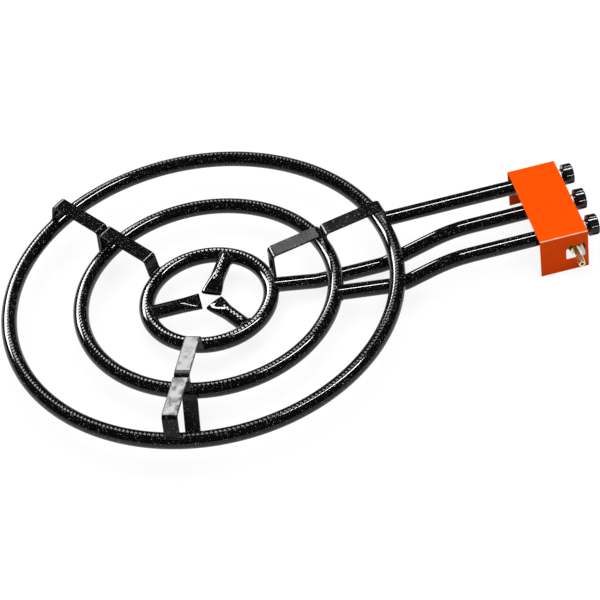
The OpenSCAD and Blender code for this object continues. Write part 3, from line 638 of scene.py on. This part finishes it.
def starPorts(tube, turn):
    # cuts the crown of a star tube into short lands and sinks every other one
    axis = Vector((math.cos(turn), math.sin(turn), 0))
    aside = Vector((-axis.y, axis.x, 0))
    centre = Vector(rings["inner_ring"]["centre"])
    bpy.ops.object.mode_set(mode="EDIT")
    for step in range(starPort["count"] + 1):
        bpy.ops.mesh.select_mode(type="FACE")
        bpy.ops.mesh.select_all(action="SELECT")
        out = starPort["from"] + step * starPort["pitch"]
        bpy.ops.mesh.bisect(plane_co=centre + axis * out, plane_no=axis)

    def land(face):
        place = face.calc_center_median() - centre
        step = math.floor((place.dot(axis) - starPort["from"]) / starPort["pitch"])
        if abs(place.dot(aside)) > starPort["reach"] or face.normal.z < starPort["crown"] or place.z < 0:
            return None
        return step + (place.dot(aside) > 0) if 0 <= step < starPort["count"] else None

    pick(tube, "FACE", lambda f: land(f) is not None)
    # painted highlight: the crown lands take the pale land coat, standing in for light catching them; every
    # other one then goes back to enamel and sinks
    coatPicked(tube, 1)
    pick(tube, "FACE", lambda f: land(f) is not None and land(f) % 2 == 0)
    coatPicked(tube, 0)
    bpy.ops.mesh.inset(thickness=starPort["rim"], depth=0, use_individual=True)
    bpy.ops.mesh.extrude_faces_move(TRANSFORM_OT_shrink_fatten={"value": -starPort["depth"]})
    bpy.ops.object.mode_set(mode="OBJECT")


# behind their rings these two run straight down to the dip
straightRuns = {
    "inner_feed_tube": {"from": -0.030, "to": (0.02295, -0.0055, 0.0293), "slope": 15.75,
                        "heights": (0.0425, 0.0287)},
    "middle_feed_tube": {"from": 0.080, "to": (0.1504, -0.0740, 0.0402), "slope": 11.25,
                         "heights": (0.0545, 0.0397)},
}
midWall = 0.0121  # between the bore and the outside of a feed tube


def straightened(tube, run):
    # takes out a double bend and bridges both walls of the tube across it
    end = Vector(run["to"])
    slope = math.radians(run["slope"])
    along = Vector((math.cos(slope), 0, -math.sin(slope)))

    def outerWall(edge):
        place = edge.verts[0].co
        height = run["heights"][place.x > (run["from"] + end.x) / 2]
        return math.hypot(place.y - end.y, place.z - height) > midWall

    workOn(tube)
    bpy.ops.object.mode_set(mode="EDIT")
    pick(tube, "VERT", lambda v: v.co.x > run["from"] and (v.co - end).dot(along) < 0)
    bpy.ops.mesh.delete(type="VERT")
    for wall in (True, False):
        pick(tube, "EDGE", lambda e: e.is_boundary and outerWall(e) == wall)
        bpy.ops.mesh.bridge_edge_loops()
    bpy.ops.mesh.select_all(action="SELECT")
    bpy.ops.mesh.normals_make_consistent(inside=False)
    bpy.ops.object.mode_set(mode="OBJECT")


for node, ringName in tubes.items():
    tube = nodeCopy(node, node + "_drawn")
    if node in straightRuns:
        straightened(tube, straightRuns[node])
    weldLine(tube, ringName)
    workOn(tube)
    coated(tube, ringEnamel, innerLandHighlight)
    if node in starPort["turns"]:
        starPorts(tube, math.radians(starPort["turns"][node]))
    smoothed(tube, 40)
    finished(tube, "burner", "ring_enamel", node)


def atWeld(edge):
    return any(all(abs(ringPlace(ring, vert.co)[2]) < weld["reach"] for vert in edge.verts)
               for ring in rings.values())


strapEdge = {"round": 0.0007, "steps": 2, "level": 0.95,
             "worn": {"front_inner_strap": restSteel, "front_outer_strap": scuffedSteel}}
straps = [side + kind for side in ("right", "back", "front") for kind in ("_outer_strap", "_inner_strap")]
for node in straps + ["back_foot", "front_foot"]:
    strap = nodeCopy(node, node + "_rolled")
    for ringName in rings:
        weldLine(strap, ringName)
    easedEdges(strap, strapEdge["round"], strapEdge["steps"], 35, atWeld)
    coated(strap, strapEnamel, strapEdge["worn"].get(node, strapEnamel))
    if node in strapEdge["worn"]:
        bpy.ops.object.mode_set(mode="EDIT")
        pick(strap, "FACE", lambda f: f.normal.z > strapEdge["level"])
        coatPicked(strap, 1)  # pans have rubbed the top of the front support
        bpy.ops.object.mode_set(mode="OBJECT")
    smoothed(strap, 50, True)
    finished(strap, "burner", "strap_enamel", node)
for ringName in rings:
    weldBeads(ringName)
print("tubes, straps and welds done")

# folded cover and knobs, with eased edges
coverEdge = {"round": 0.0003, "steps": 1, "foldAbove": 0.079, "foldLean": (0.4, 0.92)}
cover = nodeCopy("control_cover", "control_cover_painted")
easedEdges(cover, coverEdge["round"], coverEdge["steps"])
coated(cover, coverPaint, foldHighlightPaint)
bpy.ops.object.mode_set(mode="EDIT")
leanLow, leanHigh = coverEdge["foldLean"]
pick(cover, "FACE", lambda f: f.calc_center_median().z > coverEdge["foldAbove"]
     and leanLow < f.normal.z < leanHigh and abs(f.normal.x) < 0.1)
# painted highlight: the faces along the fold take the pale fold coat
coatPicked(cover, 1)
bpy.ops.object.mode_set(mode="OBJECT")
smoothed(cover, 50, True)
finished(cover, "burner", "cover_paint", "control_cover")

knobEdge = {"round": 0.0006, "steps": 2}
for side in ("outer", "inner", "middle"):
    knob = nodeCopy(side + "_knob", side + "_knob_moulded")
    easedEdges(knob, knobEdge["round"], knobEdge["steps"], 40)
    coated(knob, knobPlastic)
    smoothed(knob, 40, True)
    finished(knob, side + "_control", "knob_plastic", side + "_knob")
print("cover and knobs done")

# white floor that keeps a soft shadow, and plain studio light
studio = {
    "floor": 60.0, "floorBounce": 0.75, "floorShade": 0.20, "floorGlow": 0.85, "sky": 0.05,
    "lamps": {
        "softTop": {"from": (0.2, 0.3, 3.2), "size": (4.5, 4.5), "glow": 2.9, "mirrored": False},
        "topStrip": {"from": (0.85, 0.28, 2.6), "size": (1.2, 0.24), "glow": 100.0, "mirrored": True},
        "leftCard": {"from": (-1.28, 2.15, 1.57), "size": (2.0, 0.6), "glow": 40.0, "mirrored": True},
        "farCard": {"from": (-0.2, 3.0, 3.05), "size": (0.32, 0.3), "glow": 7.0, "mirrored": True},
    },
}

nothingSelected()
bpy.ops.mesh.primitive_plane_add(size=studio["floor"], location=(0, 0, -0.0005))
floor = bpy.context.object
floor.name = "studioFloor"
bpy.ops.object.transform_apply(location=True)
paper = bpy.data.materials.new("floorPaper")
paper.use_nodes = True
tree = paper.node_tree
tree.nodes.clear()
white = addNode(tree, "ShaderNodeBsdfDiffuse", (-200, 300))
white.inputs["Color"].default_value = (*[studio["floorBounce"]] * 3, 1)
shade = addNode(tree, "ShaderNodeBsdfDiffuse", (-400, 100))
shade.inputs["Color"].default_value = (*[studio["floorShade"]] * 3, 1)
glow = addNode(tree, "ShaderNodeEmission", (-400, -50))
glow.inputs["Strength"].default_value = studio["floorGlow"]
shown = addNode(tree, "ShaderNodeAddShader", (-200, 50))
rays = addNode(tree, "ShaderNodeLightPath", (-800, 400))
seen = addNode(tree, "ShaderNodeMath", (-600, 400), operation="MAXIMUM")
mirrored = addNode(tree, "ShaderNodeMath", (-400, 400), operation="MAXIMUM")
both = addNode(tree, "ShaderNodeMixShader", (0, 200))
output = addNode(tree, "ShaderNodeOutputMaterial", (200, 200))
tree.links.new(rays.outputs["Is Camera Ray"], seen.inputs[0])
tree.links.new(rays.outputs["Is Transmission Ray"], seen.inputs[1])
tree.links.new(shade.outputs[0], shown.inputs[0])
tree.links.new(glow.outputs[0], shown.inputs[1])
tree.links.new(seen.outputs[0], mirrored.inputs[0])
tree.links.new(rays.outputs["Is Glossy Ray"], mirrored.inputs[1])
tree.links.new(mirrored.outputs[0], both.inputs[0])
tree.links.new(white.outputs[0], both.inputs[1])
tree.links.new(shown.outputs[0], both.inputs[2])
tree.links.new(both.outputs[0], output.inputs["Surface"])
floor.data.materials.append(paper)

sky = bpy.data.worlds.new("studioSky")
sky.use_nodes = True
sky.node_tree.nodes["Background"].inputs["Color"].default_value = (*[studio["sky"]] * 3, 1)
bpy.context.scene.world = sky

aim = Vector((0.0, 0.0, 0.06))
for name, lamp in studio["lamps"].items():
    nothingSelected()
    bpy.ops.object.light_add(type="AREA", location=lamp["from"])
    light = bpy.context.object
    light.name = name
    light.data.shape = "RECTANGLE"
    light.data.size, light.data.size_y = lamp["size"]
    light.data.energy = lamp["glow"] * math.pi * lamp["size"][0] * lamp["size"][1]
    away = (aim - light.location).normalized()
    sideways = Vector((1, 0, 0)) - away * away.x
    sideways.normalize()
    light.matrix_world = Matrix.Translation(light.location) @ Matrix(
        (sideways, (-away).cross(sideways), -away)).transposed().to_4x4()
    light.visible_camera = False
    light.visible_glossy = lamp["mirrored"]  # cards show in gloss only, the soft lamp in none
    light.visible_diffuse = not lamp["mirrored"]
print("floor and lamps done")

nothingSelected()
